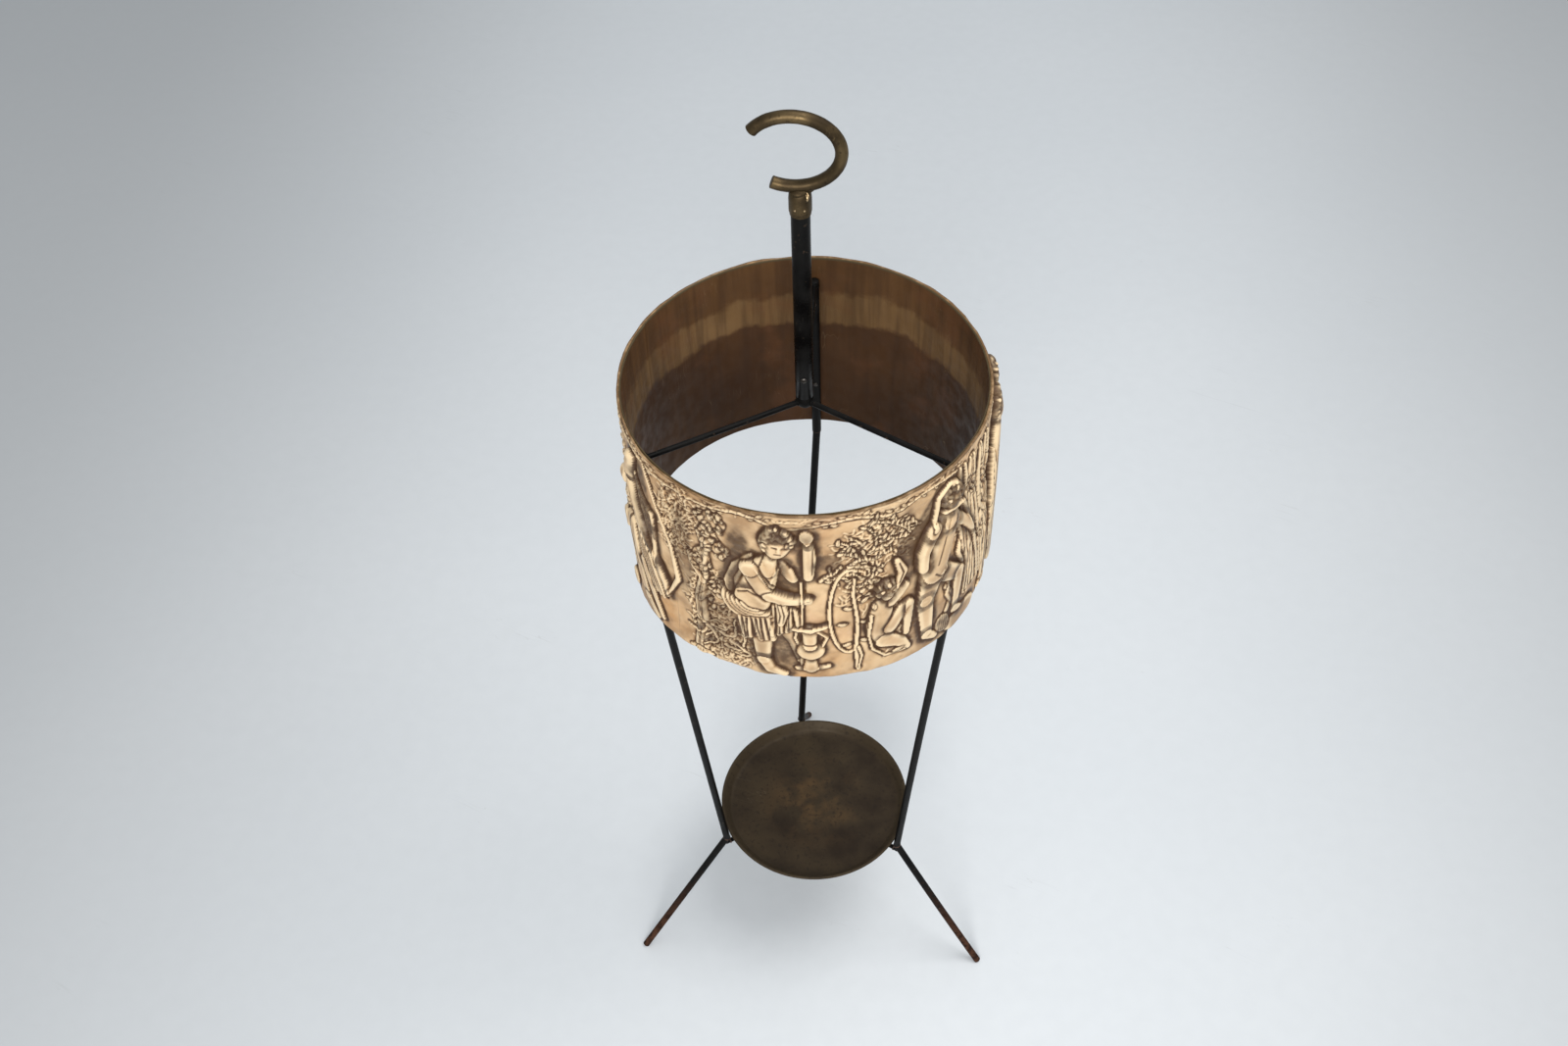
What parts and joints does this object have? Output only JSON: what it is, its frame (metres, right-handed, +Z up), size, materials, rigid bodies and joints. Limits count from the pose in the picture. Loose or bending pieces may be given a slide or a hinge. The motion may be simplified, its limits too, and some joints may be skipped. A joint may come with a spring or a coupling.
{
  "type": "umbrella stand",
  "caption": "Free-standing umbrella stand: a relief-faced open band on splayed rod legs, a lift-out drip tray between the knees, and a centre tube with a C-shaped carrying handle.",
  "frame": {"origin": "on the floor, in the middle of the stand's plan box; the centre tube's axis stands at Y = -0.02365", "axes": "+Z up along the centre tube, +Y towards the rear leg, the handle's mouth opens towards -X"},
  "size_m": [0.3094, 0.309, 0.8522],
  "materials": {
    "aged_brass": "dark aged patina, satin",
    "black_tube": "semi-gloss black enamel",
    "black_rod": "worn satin black enamel with rust at the feet",
    "rivet_steel": "dull dark steel",
    "tray_brass": "dark brown-olive patina, satin",
    "liner_varnish": "brown varnish, uneven bands",
    "ivory_relief": "matte ivory with umber in the recesses"
  },
  "bodies": {
    "stand": {"handle_ring": "aged_brass", "handle_ferrule": "aged_brass", "ferrule_pin_left": "aged_brass", "ferrule_pin_right": "aged_brass", "centre_tube": "black_tube", "hub": "black_tube", "spoke_rear": "black_rod", "leg_socket_rear": "black_rod", "leg_rod_rear": "black_rod", "foot_rod_rear": "black_rod", "tray_peg_rear": "black_rod", "spoke_left": "black_rod", "leg_socket_left": "black_rod", "leg_rod_left": "black_rod", "foot_rod_left": "black_rod", "tray_peg_left": "black_rod", "spoke_right": "black_rod", "leg_socket_right": "black_rod", "leg_rod_right": "black_rod", "foot_rod_right": "black_rod", "tray_peg_right": "black_rod", "tube_rivet": "rivet_steel", "wall_rivet_rear_lower": "rivet_steel", "wall_rivet_rear_upper": "rivet_steel", "wall_rivet_left_lower": "rivet_steel", "wall_rivet_left_upper": "rivet_steel", "wall_rivet_right_lower": "rivet_steel", "wall_rivet_right_upper": "rivet_steel", "band_liner": "liner_varnish", "relief_band": "ivory_relief"},
    "tray": {"drip_tray": "tray_brass"}
  },
  "joints": [
    {"name": "tray_lift", "type": "slide", "parent": "stand", "child": "tray", "axis": [0, 0, 1], "range_m": [0, 0.25]}
  ]
}
